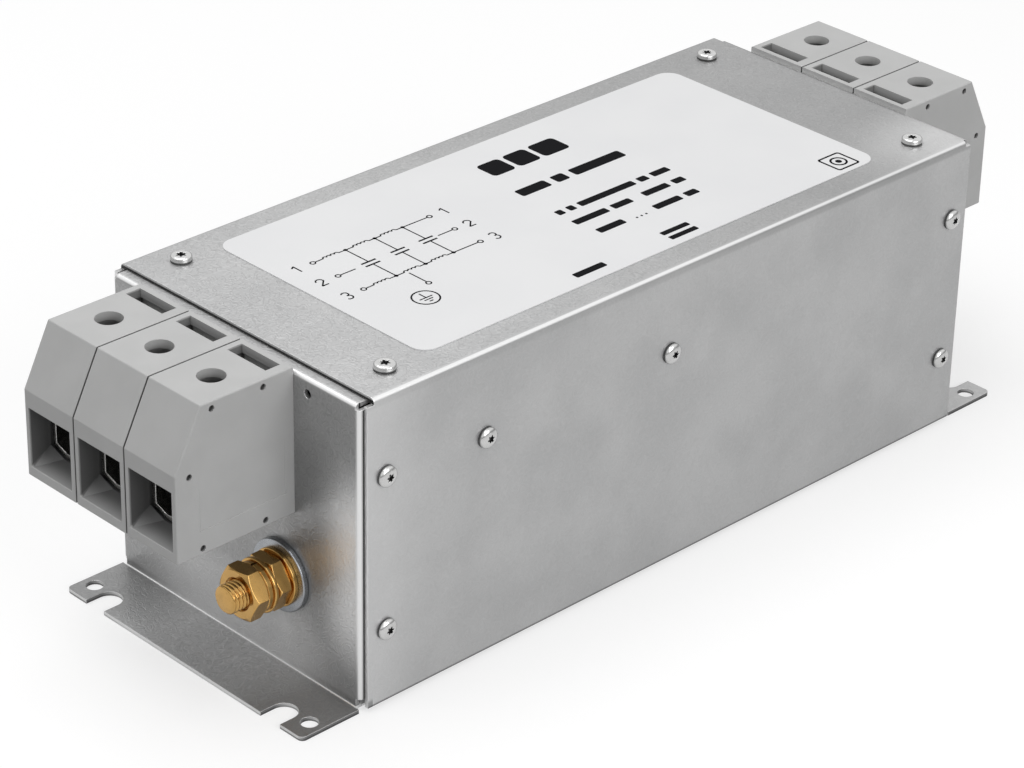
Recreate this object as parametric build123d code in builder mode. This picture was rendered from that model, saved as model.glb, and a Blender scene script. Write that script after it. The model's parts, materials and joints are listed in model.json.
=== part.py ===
from build123d import *
import os
from math import cos, pi, sin, sqrt

# Three phase line filter in a folded sheet case. Millimetres, +Z up, +X along
# the case from the line end to the load end, floor at Z = 0.

# Case
case_length = 286.0         # between the outer faces of the two end walls
case_width = 122.0          # over the side panels of the cover
case_height = 112.0         # floor to the top of the cover
sheet = 1.5                 # zinc plated steel sheet
inner_bend = 0.3            # inside radius of every fold

# Cover
cover_top_inset = 4.8       # wall face to the end of the top panel
cover_side_inset = 2.2      # wall face to the end of a side panel
cover_lift = 1.5            # lower edge of the side panels above the floor
cover_tab_drop = 2.2        # side panels stop this far below the top, past the top panel

# End brackets
foot_length = 24.0
ear_hole_radius = 3.0
ear_hole_edge = 7.7         # hole centre to the outer edge of the foot
ear_hole_side = 5.2         # hole centre to the side of the foot
foot_slot_width = 9.4
foot_slot_depth = 10.4
foot_slot_side = 15.2       # slot centre to the side of the foot
foot_corner_radius = 2.0
top_lip_length = 30.0
side_lip_length = 18.0
relief_height = 3.0         # from the foot to the folds of the side lips
wall_hole_radius = 1.6
wall_hole_aside = 44.0      # from the middle of the terminals
wall_hole_drop = 6.8        # below the top of the case

# Base tray
tray_lip_height = 36.0
tray_end_gap = 0.2          # past the folds of the brackets

# Label
label_line_inset = 35.0     # wall face to the label, at the line end
label_load_inset = 39.0
label_side_inset = 11.0
label_thickness = 0.3
label_corner_radius = 6.0

# Case screws
screw_radius = 2.0
screw_hole_gap = 0.25
screw_head_radius = 4.0
screw_length = 8.0
top_head_height = 2.6
side_head_height = 2.3
recess_radius = 1.35
recess_depth = 1.3
top_screw_inset = 20.0      # from the wall face
top_screw_side = 12.0       # from the outside of the cover
end_screw_inset = 9.8
end_screw_low = 28.3        # above the floor
end_screw_drop = 28.5       # the upper ones, below the top of the case
bridge_screw_x = (-91.0, -8.0)
bridge_screw_drop = 31.0    # below the top of the case

# Terminal blocks
pitch = 25.0
terminal_count = 3
terminal_side = 53.0        # middle of the group to the outside of the cover
seam = 0.3
block_height = 52.0
block_depth = 47.0
block_top_depth = 36.5
block_face_height = 31.0    # upright part of the front
block_edge_radius = 0.6
entry_width = 21.0
entry_height = 21.5
entry_lift = 3.5            # above the underside of the block
entry_corner = 0.4          # chamfer of the funnel's lower corners at the mouth
throat_roof = 0.5           # the funnel's roof falls by this much
throat_gap = 0.3            # round the cage, at the inner end of the funnel
throat_depth = 7.6          # front of the block to the chamber
chamber_back = 10.0         # from the wall
chamber_gap = 0.7           # round the cage
block_roof = 3.2            # top of the block, round the shaft and the marker groove
undercut = 0.9              # shaft and groove are wider below it, on every side
screw_bore_radius = 4.65
clamp_x = 22.0              # screw axis from the wall
groove_length = 18.2        # marker groove across the top
groove_width = 5.8
groove_depth = 8.0
groove_back = 2.0
groove_side = 2.9
pin_radius = 1.1
pin_depth = 1.6
pin_places = ((32.2, 2.6), (12.0, 2.7), (41.5, 23.0), (36.8, 49.8), (11.8, 49.8))
panel_back = 3.4            # sunk panel in the block's flanks, running out upwards
panel_front = 37.7
panel_low = 43.6            # below the top of the block
panel_high = 21.0
panel_depth = 0.25

# Clamps
bar_width = 14.0
bar_thickness = 4.0
bar_depth = 26.5            # middle of the bar below the top of the block
bar_end_gap = 0.6           # bar end to the throat
cage_width = 18.8
cage_plate = 1.6
cage_flat = 5.8             # level part of the cage floor
cage_head = 4.7
cage_gap = 0.3
cage_inside = 15.0          # bar to the middle of the cage floor, wide open
cage_vee = 2.4              # the floor climbs by this much to the sides
cage_back = 12.0            # from the wall
cage_travel = 10.0
clamp_thread_radius = 3.7
clamp_hole_radius = 4.0
clamp_head_radius = 4.35
clamp_head_height = 4.0
clamp_head_drop = 4.5       # below the top of the block
clamp_socket = 4.0          # across flats
clamp_socket_depth = 2.6

# Busbars inside the case
window_width = 19.0
window_height = 13.0
window_gap = 0.3
spigot_length = 4.0         # past the inside of the wall
bar_slot_gap = 0.3
bar_drop_x = 22.0           # wall inside to the upright run
bar_bend = 6.0

# Choke: ring cores round the three bars
core_count = 3
core_outer_radius = 47.0
core_inner_radius = 33.0
core_width = 28.0
core_gap = 2.0
core_start_x = 18.0
core_edge_radius = 1.5
spacer_width = 6.0
spacer_gap = 0.3
tie_width = 6.0
tie_thickness = 1.2
cradle_width = 62.0
cradle_wrap = 8.5           # how far the cradle reaches up the cores
cradle_end = 2.0            # past the cores
cradle_ear = 12.0
cradle_ear_height = 5.0
cradle_screw_edge = 6.0

# Capacitor board on its bridge between the side panels
bridge_start_x = -104.0
bridge_length = 108.0
bridge_screw_rise = 15.0    # screws above the underside of the bridge
bridge_flange = 24.0
board_edge = 6.0
board_side = 8.0
board_thickness = 1.6
spacer_height = 5.0
spacer_radius = 3.5
board_screw_radius = 1.5
board_screw_edge = 5.0
pillar_x = -50.0
pillar_radius = 4.0
pillar_stud_radius = 2.0
pillar_hole_radius = 7.0
pillar_nut_flats = 7.0
pillar_nut_height = 3.2
x_cap_size = (32.0, 20.0, 28.0)
x_cap_x = -79.0
x_cap_screw_gap = 2.0       # outer capacitors to the heads of the board's screws
y_cap_size = (9.0, 18.0, 15.0)
y_cap_x = -31.0
resistor_radius = 2.5
resistor_length = 14.0
resistor_x = -13.0
lead_radius = 0.45
lead_reach = 2.5
cap_edge_radius = 1.0

# Earth stud
stud_radius = 5.0
stud_aside = 31.0           # from the middle of the terminals
stud_z = 35.0
stud_reach = 24.0           # past the wall
stud_hole_gap = 0.3
stud_head_height = 6.4
nut_flats = 17.0
nut_bevel = 0.9             # share of the corners that is turned off
nut_turn = -3.0             # degrees
wide_washer_radius = 12.6
wide_washer = 2.0
brass_washer_radius = 10.0
brass_washer = 1.6
cable_washer_radius = 9.4
spring_washer_radius = 8.6
spring_washer = 2.0
clamp_nut_height = 5.6
cable_nut_height = 6.0
inner_washer = 1.8

# Places that follow from the sizes above
half_length = case_length / 2
wall_inside = half_length - sheet
tray_end = wall_inside - inner_bend - tray_end_gap
half_width = case_width / 2
cover_inside_y = half_width - sheet
lip_inside_y = cover_inside_y - sheet
tray_inside_y = lip_inside_y - sheet
cover_inside_z = case_height - sheet
outer_bend = inner_bend + sheet
middle_bend = inner_bend + sheet / 2
foot_end = half_length + foot_length
label_length = case_length - label_line_inset - label_load_inset
label_width = case_width - 2 * label_side_inset
label_x = (label_line_inset - label_load_inset) / 2
end_screw_high = case_height - end_screw_drop
bridge_screw_z = case_height - bridge_screw_drop
bridge_z = bridge_screw_z - bridge_screw_rise
terminal_y = half_width - terminal_side
wall_hole_y = terminal_y - wall_hole_aside
stud_y = terminal_y - stud_aside
block_top = case_height     # flush with the cover
block_bottom = block_top - block_height
bar_z = block_top - bar_depth
bar_low_z = (sheet + cover_inside_z) / 2
cage_floor_z = bar_z - bar_thickness / 2 - cage_inside
cage_roof_z = bar_z + bar_thickness / 2 + cage_gap
cage_top_z = cage_roof_z + cage_head
chamber_roof_z = cage_top_z + cage_travel + 1.0
chamber_floor_z = cage_floor_z - cage_plate - chamber_gap
throat_x = block_depth - throat_depth
cage_front = throat_x - chamber_gap
clamp_head_z = block_top - clamp_head_drop
bar_top_low = bar_low_z + bar_thickness / 2
bridge_top = bridge_z + sheet
board_z = bridge_top + spacer_height
board_top = board_z + board_thickness
core_pitch = core_width + core_gap
terminal_ys = [terminal_y + pitch * (i - (terminal_count - 1) / 2) for i in range(terminal_count)]
core_xs = [core_start_x + core_width / 2 + core_pitch * i for i in range(core_count)]
cradle_length = core_pitch * core_count - core_gap + 2 * cradle_end
cradle_height = bar_low_z - core_outer_radius - sheet + cradle_wrap
cradle_x = core_start_x - cradle_end + cradle_length / 2
board_x = bridge_start_x + bridge_length / 2
board_length = bridge_length - 2 * board_edge
board_half_width = cover_inside_y - sheet - board_side
board_head_radius = 2 * board_screw_radius
board_screw_y = board_half_width - board_screw_edge
row_pitch = board_screw_y - board_head_radius - x_cap_screw_gap - x_cap_size[1] / 2

os.makedirs("parts", exist_ok=True)


def save(piece, name):
    """Label a finished piece and write it as its own STEP file."""
    piece.part.label = name
    export_step(piece.part, f"parts/{name}.step")


def load_side(piece):
    """The same piece at the load end, as a mirror image."""
    with BuildPart() as twin:
        mirror(piece.part, about=Plane.YZ)
    return twin


def star(radius, points=6, waist=0.62):
    """Corner points of a star shaped driver recess."""
    step = pi / points
    reach = [radius if i % 2 == 0 else radius * waist for i in range(2 * points)]
    return [(r * cos(i * step), r * sin(i * step)) for i, r in enumerate(reach)]


def side_faces():
    """Planes on the two side panels, facing out, with their X along the case."""
    return [
        Plane((0, -half_width, 0), x_dir=(1, 0, 0), z_dir=(0, -1, 0)),
        Plane((0, half_width, 0), x_dir=(1, 0, 0), z_dir=(0, 1, 0)),
    ]


def end_screw_places():
    """Screws through the side panels into the end brackets, as X and Z."""
    inset = half_length - end_screw_inset
    return [(x, z) for x in (-inset, inset) for z in (end_screw_low, end_screw_high)]


def top_screw_places():
    inset = half_length - top_screw_inset
    side = half_width - top_screw_side
    return [(x, y) for x in (-inset, inset) for y in (-side, side)]


def on_side(face, places):
    """Turn X and Z places into points of a side plane."""
    up = face.y_dir.Z
    return [(x * face.x_dir.X, z * up) for x, z in places]


def case_screws(planes_and_places, head_height, flat):
    """Pan head screws with a star recess, all in one node."""
    with BuildPart() as screws:
        for plane, places in planes_and_places:
            with BuildSketch(plane.offset(-screw_length)):
                with Locations(*places):
                    Circle(screw_radius)
            extrude(amount=screw_length)
            with BuildSketch(plane):
                with Locations(*places):
                    Circle(screw_head_radius)
            extrude(amount=head_height)
        rims = screws.edges().filter_by(GeomType.CIRCLE).filter_by(
            lambda e: abs(e.radius - screw_head_radius) < 0.01)
        for plane, places in planes_and_places:
            level = plane.offset(head_height)
            outer = rims.filter_by(lambda e: abs(level.to_local_coords(e.arc_center).Z) < 0.01)
            fillet(outer, radius=head_height * (0.35 if flat else 0.85))
        for plane, places in planes_and_places:
            with BuildSketch(plane.offset(head_height - recess_depth)):
                with Locations(*places):
                    Polygon(*star(recess_radius), align=None)
            extrude(amount=recess_depth, mode=Mode.SUBTRACT)
    return screws


def end_bracket():
    """Wall, foot, top lip and side lips folded from one blank, at the line end."""
    wall_middle = -half_length + sheet / 2
    top_middle = cover_inside_z - sheet / 2
    fold_y = cover_inside_y - outer_bend
    low = sheet + relief_height
    high = cover_inside_z - outer_bend
    with BuildPart() as bracket:
        # Foot, wall and top lip, between the folds of the side lips.
        with BuildLine() as strip:
            FilletPolyline(
                (-foot_end, 0, sheet / 2),
                (wall_middle, 0, sheet / 2),
                (wall_middle, 0, top_middle),
                (-half_length + top_lip_length, 0, top_middle),
                radius=middle_bend,
            )
        with BuildSketch(Plane(strip.line @ 0, x_dir=(0, 1, 0), z_dir=strip.line % 0)):
            Rectangle(2 * fold_y, sheet)
        sweep(path=strip.line)
        # Side lips with their folds; the blank is relieved above the foot.
        with BuildSketch(Plane.XY.offset(low)):
            with BuildLine():
                outside = FilletPolyline(
                    (-half_length + side_lip_length, -cover_inside_y), (-half_length, -cover_inside_y),
                    (-half_length, cover_inside_y), (-half_length + side_lip_length, cover_inside_y),
                    radius=outer_bend)
                inside = FilletPolyline(
                    (-half_length + side_lip_length, -lip_inside_y), (-wall_inside, -lip_inside_y),
                    (-wall_inside, lip_inside_y), (-half_length + side_lip_length, lip_inside_y),
                    radius=inner_bend)
                Line(outside @ 0, inside @ 0)
                Line(outside @ 1, inside @ 1)
            make_face()
        extrude(amount=high - low)
        # The foot is as wide as the folded wall.
        with BuildSketch(Plane.XY):
            with Locations(((-foot_end - half_length - outer_bend + sheet) / 2, 0)):
                Rectangle(foot_end - half_length - outer_bend + sheet, 2 * cover_inside_y)
        extrude(amount=sheet)
        # Foot: round holes in the ears and slots open to the outside.
        ear_y = cover_inside_y - ear_hole_side
        slot_y = cover_inside_y - foot_slot_side
        with BuildSketch(Plane.XY):
            with Locations((-foot_end + ear_hole_edge, ear_y), (-foot_end + ear_hole_edge, -ear_y)):
                Circle(ear_hole_radius)
            slot_x = -foot_end + foot_slot_depth - foot_slot_width / 2
            with Locations((slot_x, slot_y), (slot_x, -slot_y)):
                Circle(foot_slot_width / 2)
                Rectangle(2 * foot_slot_depth, foot_slot_width, align=(Align.MAX, Align.CENTER))
        extrude(amount=sheet, mode=Mode.SUBTRACT)
        tips = bracket.edges().filter_by(Axis.Z).filter_by(
            lambda e: abs(e.center().X + foot_end) < 0.01)
        fillet(tips.filter_by(lambda e: abs(e.center().Y) > cover_inside_y - 0.01),
               radius=foot_corner_radius)
        # Wall: terminal windows, the small hole and the earth stud's hole.
        with BuildSketch(Plane.YZ.offset(-half_length)):
            with Locations(*[(y, bar_z) for y in terminal_ys]):
                Rectangle(window_width, window_height)
            with Locations((wall_hole_y, case_height - wall_hole_drop)):
                Circle(wall_hole_radius)
        extrude(amount=sheet, mode=Mode.SUBTRACT)
        # Threads for the cover screws.
        with BuildSketch(Plane.XY.offset(cover_inside_z)):
            with Locations(*[p for p in top_screw_places() if p[0] < 0]):
                Circle(screw_radius + screw_hole_gap)
        extrude(amount=-sheet, mode=Mode.SUBTRACT)
        for face in side_faces():
            places = on_side(face, [p for p in end_screw_places() if p[0] < 0])
            with BuildSketch(face):
                with Locations(*places):
                    Circle(screw_radius + screw_hole_gap)
            extrude(amount=-3 * sheet, mode=Mode.SUBTRACT)
    return bracket


def cage_outline(half, floor_z, roof_z):
    """Corners of a cage section: level floor in the middle, climbing to the sides."""
    flat = cage_flat / 2
    side_z = floor_z + cage_vee * (half - flat) / (cage_width / 2 - flat)
    return [(-half, roof_z), (-half, side_z), (-flat, floor_z), (flat, floor_z), (half, side_z), (half, roof_z)]


def terminal_housing(y):
    """Moulded shell of one terminal, at the line end."""
    wall = -half_length
    top_z = block_top
    with BuildPart() as housing:
        with BuildSketch(Plane.XZ.offset(-y)):
            with BuildLine():
                Polyline(
                    (wall, block_bottom),
                    (wall - block_depth, block_bottom),
                    (wall - block_depth, block_bottom + block_face_height),
                    (wall - block_top_depth, top_z),
                    (wall, top_z),
                    close=True,
                )
            make_face()
        extrude(amount=(pitch - seam) / 2, both=True)
        outline = housing.edges().filter_by(lambda e: e.center().X < wall - 0.01)
        fillet(outline, radius=block_edge_radius)
        # Spigot through the wall's window, with the slot for the bar.
        with Locations((wall, y, bar_z)):
            Box(sheet + spigot_length, window_width - 2 * window_gap, window_height - 2 * window_gap,
                align=(Align.MIN, Align.CENTER, Align.CENTER))
        with Locations((wall + sheet + spigot_length, y, bar_z)):
            Box(2 * (sheet + spigot_length + chamber_back), bar_width + 2 * bar_slot_gap,
                bar_thickness + 2 * bar_slot_gap, mode=Mode.SUBTRACT)
        # Chamber for the cage.
        chamber_length = throat_x - chamber_back
        with Locations((wall - chamber_back, y, chamber_floor_z)):
            Box(chamber_length, cage_width + 2 * chamber_gap, chamber_roof_z - chamber_floor_z,
                align=(Align.MAX, Align.CENTER, Align.MIN), mode=Mode.SUBTRACT)
        # Funnel from the square mouth to the outline of the cage.
        mouth = Plane((wall - block_depth, y, 0), x_dir=(0, 1, 0), z_dir=(1, 0, 0))
        mouth_low = block_bottom + entry_lift
        mouth_high = mouth_low + entry_height
        mouth_side = entry_width / 2
        corner = mouth_side - entry_corner
        with BuildSketch(mouth):
            Polygon(
                (-mouth_side, mouth_high), (-mouth_side, mouth_low + entry_corner), (-corner, mouth_low),
                (corner, mouth_low), (mouth_side, mouth_low + entry_corner), (mouth_side, mouth_high),
                align=None)
        throat = cage_outline(cage_width / 2 + throat_gap, cage_floor_z - cage_plate - throat_gap,
                              mouth_high - throat_roof)
        with BuildSketch(mouth.offset(throat_depth)):
            Polygon(*throat, align=None)
        loft(ruled=True, mode=Mode.SUBTRACT)
        # Screw shaft and marker groove, both wider below the roof.
        shaft = (wall - clamp_x, y)
        groove = (wall - groove_back - groove_width / 2, y + pitch / 2 - groove_side - groove_length / 2)
        with BuildSketch(Plane.XY.offset(top_z)):
            with Locations(shaft):
                Circle(screw_bore_radius)
            with Locations(groove):
                Rectangle(groove_width, groove_length)
        extrude(amount=-block_roof, mode=Mode.SUBTRACT)
        with BuildSketch(Plane.XY.offset(top_z - block_roof)):
            with Locations(shaft):
                Circle(screw_bore_radius + undercut)
        extrude(amount=chamber_roof_z - top_z + block_roof, mode=Mode.SUBTRACT)
        with BuildSketch(Plane.XY.offset(top_z - block_roof)):
            with Locations(groove):
                Rectangle(groove_width + 2 * undercut, groove_length + 2 * undercut)
        extrude(amount=block_roof - groove_depth, mode=Mode.SUBTRACT)
        # Flanks: a sunk panel and the pin holes that peg the row together.
        for side in (-1, 1):
            flank_y = y + side * (pitch - seam) / 2
            with BuildSketch(Plane.YZ.offset(wall - panel_front)):
                Polygon(
                    (flank_y, top_z - panel_low),
                    (flank_y - side * panel_depth, top_z - panel_low),
                    (flank_y, top_z - panel_high),
                    align=None)
            extrude(amount=panel_front - panel_back, mode=Mode.SUBTRACT)
            flank = Plane.XZ.offset(-flank_y)
            with BuildSketch(flank):
                with Locations(*[(wall - a, top_z - d) for a, d in pin_places]):
                    Circle(pin_radius)
            extrude(amount=side * pin_depth, mode=Mode.SUBTRACT)
    return housing


def clamp_cage(y):
    """Steel cage that lifts the wire against the bar, at the line end, wide open."""
    half = cage_width / 2
    inside = half - cage_plate
    with BuildPart() as cage:
        with BuildSketch(Plane((-half_length - cage_back, y, 0), x_dir=(0, 1, 0), z_dir=(1, 0, 0))):
            Polygon(*cage_outline(half, cage_floor_z - cage_plate, cage_top_z), align=None)
            Polygon(*cage_outline(inside, cage_floor_z, cage_roof_z), align=None, mode=Mode.SUBTRACT)
        extrude(amount=-(cage_front - cage_back))
        folds = cage.edges().filter_by(Axis.X).filter_by(
            lambda e: abs(abs(e.center().Y - y) - half) < 0.01)
        fillet(folds, radius=cage_plate * 0.75)
        with BuildSketch(Plane.XY.offset(cage_top_z)):
            with Locations((-half_length - clamp_x, y)):
                Circle(clamp_hole_radius)
        extrude(amount=-cage_head, mode=Mode.SUBTRACT)
    return cage


def clamp_screw(y):
    """Clamp screw standing on the bar, at the line end."""
    foot_z = bar_z + bar_thickness / 2
    with BuildPart() as screw:
        with BuildSketch(Plane.XY.offset(foot_z)):
            with Locations((-half_length - clamp_x, y)):
                Circle(clamp_thread_radius)
        extrude(amount=clamp_head_z - foot_z)
        with BuildSketch(Plane.XY.offset(clamp_head_z)):
            with Locations((-half_length - clamp_x, y)):
                Circle(clamp_head_radius)
        extrude(amount=-clamp_head_height)
        ends = screw.edges().filter_by(GeomType.CIRCLE)
        chamfer([ends.sort_by(Axis.Z)[0], ends.sort_by(Axis.Z)[-1]], length=0.6)
        with BuildSketch(Plane.XY.offset(clamp_head_z)):
            with Locations((-half_length - clamp_x, y)):
                RegularPolygon(clamp_socket / 2, 6, major_radius=False)
        extrude(amount=-clamp_socket_depth, mode=Mode.SUBTRACT)
    return screw


def busbar(y):
    """One phase bar from the line clamp through the choke to the load clamp."""
    tip = half_length + cage_front - bar_end_gap
    drop = wall_inside - bar_drop_x
    with BuildPart() as bar:
        with BuildLine() as run:
            FilletPolyline(
                (-tip, y, bar_z), (-drop, y, bar_z), (-drop, y, bar_low_z),
                (drop, y, bar_low_z), (drop, y, bar_z), (tip, y, bar_z),
                radius=bar_bend,
            )
        with BuildSketch(Plane(run.line @ 0, x_dir=(0, 1, 0), z_dir=run.line % 0)):
            Rectangle(bar_width, bar_thickness)
        sweep(path=run.line)
        with BuildSketch(Plane.XY.offset(bar_low_z - bar_thickness)):
            with Locations((pillar_x, y)):
                Circle(pillar_stud_radius)
        extrude(amount=2 * bar_thickness, mode=Mode.SUBTRACT)
    return bar


def ring_core(x):
    """Ring core in its moulded case."""
    with BuildPart() as core:
        with BuildSketch(Plane.YZ.offset(x - core_width / 2)):
            with Locations((terminal_y, bar_low_z)):
                Circle(core_outer_radius)
                Circle(core_inner_radius, mode=Mode.SUBTRACT)
        extrude(amount=core_width)
        fillet(core.edges().filter_by(GeomType.CIRCLE), radius=core_edge_radius)
    return core


def bar_spacer(x):
    """Insulating disc that keeps the bars apart in the window of the cores."""
    with BuildPart() as disc:
        with BuildSketch(Plane.YZ.offset(x - spacer_width / 2)):
            with Locations((terminal_y, bar_low_z)):
                Circle(core_inner_radius - spacer_gap)
            with Locations(*[(y, bar_low_z) for y in terminal_ys]):
                Rectangle(bar_width, bar_thickness, mode=Mode.SUBTRACT)
        extrude(amount=spacer_width)
    return disc


def washer(start, thickness, radius, bore=stud_radius + stud_hole_gap):
    """Flat washer on the earth stud, from start outwards along -X."""
    with BuildPart() as ring:
        with BuildSketch(Plane.YZ.offset(start)):
            with Locations((stud_y, stud_z)):
                Circle(radius)
                Circle(bore, mode=Mode.SUBTRACT)
        extrude(amount=-thickness)
    return ring


def hexagon(start, height, bore):
    """Hexagon with chamfered corners on the earth stud, from start along -X."""
    corner = nut_flats / sqrt(3)
    bevel = (corner - nut_flats / 2) * nut_bevel
    with BuildPart() as nut:
        with BuildSketch(Plane.YZ.offset(start)):
            with Locations((stud_y, stud_z)):
                RegularPolygon(corner, 6, rotation=nut_turn)
                if bore:
                    Circle(bore, mode=Mode.SUBTRACT)
        extrude(amount=-height)
        # The corners are turned off at both faces.
        for face, inwards in ((start, -1), (start - height, 1)):
            with BuildSketch(Plane.XY.offset(stud_z)):
                with BuildLine():
                    Polyline(
                        (face, stud_y + corner - bevel),
                        (face, stud_y + corner + bevel),
                        (face + inwards * bevel, stud_y + corner + bevel),
                        close=True,
                    )
                make_face()
            revolve(axis=Axis((0, stud_y, stud_z), (1, 0, 0)), mode=Mode.SUBTRACT)
    return nut


# Folded case
bridge_screw_places = [(x, bridge_screw_z) for x in bridge_screw_x]
line_bracket = end_bracket()
load_bracket = load_side(line_bracket)
with BuildPart() as line_end:
    add(line_bracket.part)
    with BuildSketch(Plane.YZ.offset(-half_length)):
        with Locations((stud_y, stud_z)):
            Circle(stud_radius + stud_hole_gap)
    extrude(amount=sheet, mode=Mode.SUBTRACT)
save(line_end, "end_bracket_line")
save(load_bracket, "end_bracket_load")

with BuildPart() as cover:
    with BuildSketch(Plane.YZ.offset(-half_length + cover_side_inset)):
        with BuildLine():
            outside = FilletPolyline(
                (-half_width, cover_lift), (-half_width, case_height),
                (half_width, case_height), (half_width, cover_lift), radius=outer_bend)
            inside = FilletPolyline(
                (-cover_inside_y, cover_lift), (-cover_inside_y, cover_inside_z),
                (cover_inside_y, cover_inside_z), (cover_inside_y, cover_lift), radius=inner_bend)
            Line(outside @ 0, inside @ 0)
            Line(outside @ 1, inside @ 1)
        make_face()
    extrude(amount=case_length - 2 * cover_side_inset)
    for end in (-1, 1):
        with Locations((end * (half_length - cover_top_inset), 0, case_height - cover_tab_drop)):
            Box(2 * cover_top_inset, case_width, 2 * cover_tab_drop,
                align=(Align.MIN if end > 0 else Align.MAX, Align.CENTER, Align.MIN), mode=Mode.SUBTRACT)
    with BuildSketch(Plane.XY.offset(case_height)):
        with Locations(*top_screw_places()):
            Circle(screw_radius + screw_hole_gap)
    extrude(amount=-sheet, mode=Mode.SUBTRACT)
    for face in side_faces():
        with BuildSketch(face):
            with Locations(*on_side(face, end_screw_places() + bridge_screw_places)):
                Circle(screw_radius + screw_hole_gap)
        extrude(amount=-sheet, mode=Mode.SUBTRACT)
save(cover, "cover")

with BuildPart() as base_tray:
    with BuildSketch(Plane.YZ.offset(-tray_end)):
        with BuildLine():
            under = FilletPolyline(
                (-lip_inside_y, tray_lip_height), (-lip_inside_y, 0),
                (lip_inside_y, 0), (lip_inside_y, tray_lip_height), radius=outer_bend)
            upper = FilletPolyline(
                (-tray_inside_y, tray_lip_height), (-tray_inside_y, sheet),
                (tray_inside_y, sheet), (tray_inside_y, tray_lip_height), radius=inner_bend)
            Line(under @ 0, upper @ 0)
            Line(under @ 1, upper @ 1)
        make_face()
    extrude(amount=2 * tray_end)
    for face in side_faces():
        low = [p for p in end_screw_places() if p[1] == end_screw_low]
        with BuildSketch(face):
            with Locations(*on_side(face, low)):
                Circle(screw_radius + screw_hole_gap)
        extrude(amount=-4 * sheet, mode=Mode.SUBTRACT)
save(base_tray, "base_tray")

with BuildPart() as label:
    with BuildSketch(Plane.XY.offset(case_height)):
        with Locations((label_x, 0)):
            RectangleRounded(label_length, label_width, label_corner_radius)
    extrude(amount=label_thickness)
save(label, "rating_label")

# Screws of the case
top_face = Plane.XY.offset(case_height)
save(case_screws([(top_face, top_screw_places())], top_head_height, True), "cover_top_screws")
end_planes = [(face, on_side(face, end_screw_places())) for face in side_faces()]
save(case_screws(end_planes, side_head_height, False), "cover_end_screws")
bridge_planes = [(face, on_side(face, bridge_screw_places)) for face in side_faces()]
save(case_screws(bridge_planes, side_head_height, False), "cover_bridge_screws")

# Terminals and busbars
for number, y in enumerate(terminal_ys, start=1):
    housing = terminal_housing(y)
    save(housing, f"terminal_housing_line_{number}")
    save(load_side(housing), f"terminal_housing_load_{number}")
    cage = clamp_cage(y)
    save(cage, f"clamp_cage_line_{number}")
    save(load_side(cage), f"clamp_cage_load_{number}")
    screw = clamp_screw(y)
    save(screw, f"clamp_screw_line_{number}")
    save(load_side(screw), f"clamp_screw_load_{number}")
    save(busbar(y), f"phase_bar_{number}")

# Choke
for number, x in enumerate(core_xs, start=1):
    save(ring_core(x), f"ring_core_{number}")
save(bar_spacer(core_xs[0] - core_width / 2 + spacer_width), "bar_spacer_line")
save(bar_spacer(core_xs[-1] + core_width / 2 - spacer_width), "bar_spacer_load")

with BuildPart() as cradle:
    with BuildSketch(Plane.YZ.offset(cradle_x - cradle_length / 2)):
        with Locations((terminal_y, sheet)):
            Rectangle(cradle_width, cradle_height, align=(Align.CENTER, Align.MIN))
            Rectangle(cradle_width + 2 * cradle_ear, cradle_ear_height, align=(Align.CENTER, Align.MIN))
        with Locations((terminal_y, bar_low_z)):
            Circle(core_outer_radius, mode=Mode.SUBTRACT)
    extrude(amount=cradle_length)
    for x in core_xs:
        with BuildSketch(Plane.YZ.offset(x - tie_width / 2 - spacer_gap)):
            with Locations((terminal_y, bar_low_z)):
                Circle(core_outer_radius + tie_thickness + spacer_gap)
        extrude(amount=tie_width + 2 * spacer_gap, mode=Mode.SUBTRACT)
    cradle_screw_x = cradle_length / 2 - cradle_screw_edge
    cradle_screw_y = cradle_width / 2 + cradle_ear - cradle_screw_edge
    cradle_places = [(cradle_x + a * cradle_screw_x, terminal_y + b * cradle_screw_y)
                     for a in (-1, 1) for b in (-1, 1)]
    with BuildSketch(Plane.XY.offset(sheet)):
        with Locations(*cradle_places):
            Circle(screw_radius + screw_hole_gap)
    extrude(amount=cradle_ear_height, mode=Mode.SUBTRACT)
save(cradle, "core_cradle")

with BuildPart() as ties:
    for x in core_xs:
        with BuildSketch(Plane.YZ.offset(x - tie_width / 2)):
            with Locations((terminal_y, bar_low_z)):
                Circle(core_outer_radius + tie_thickness)
                Circle(core_outer_radius, mode=Mode.SUBTRACT)
        extrude(amount=tie_width)
save(ties, "core_ties")

with BuildPart() as cradle_screws:
    with BuildSketch(Plane.XY.offset(sheet)):
        with Locations(*cradle_places):
            Circle(screw_radius)
    extrude(amount=cradle_ear_height)
    with BuildSketch(Plane.XY.offset(sheet + cradle_ear_height)):
        with Locations(*cradle_places):
            Circle(screw_head_radius)
    extrude(amount=side_head_height)
save(cradle_screws, "cradle_screws")

# Capacitor board
spacer_places = [(board_x + a * (board_length / 2 - board_screw_edge),
                  b * board_screw_y) for a in (-1, 1) for b in (-1, 1)]
pillar_places = [(pillar_x, y) for y in terminal_ys]

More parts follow.
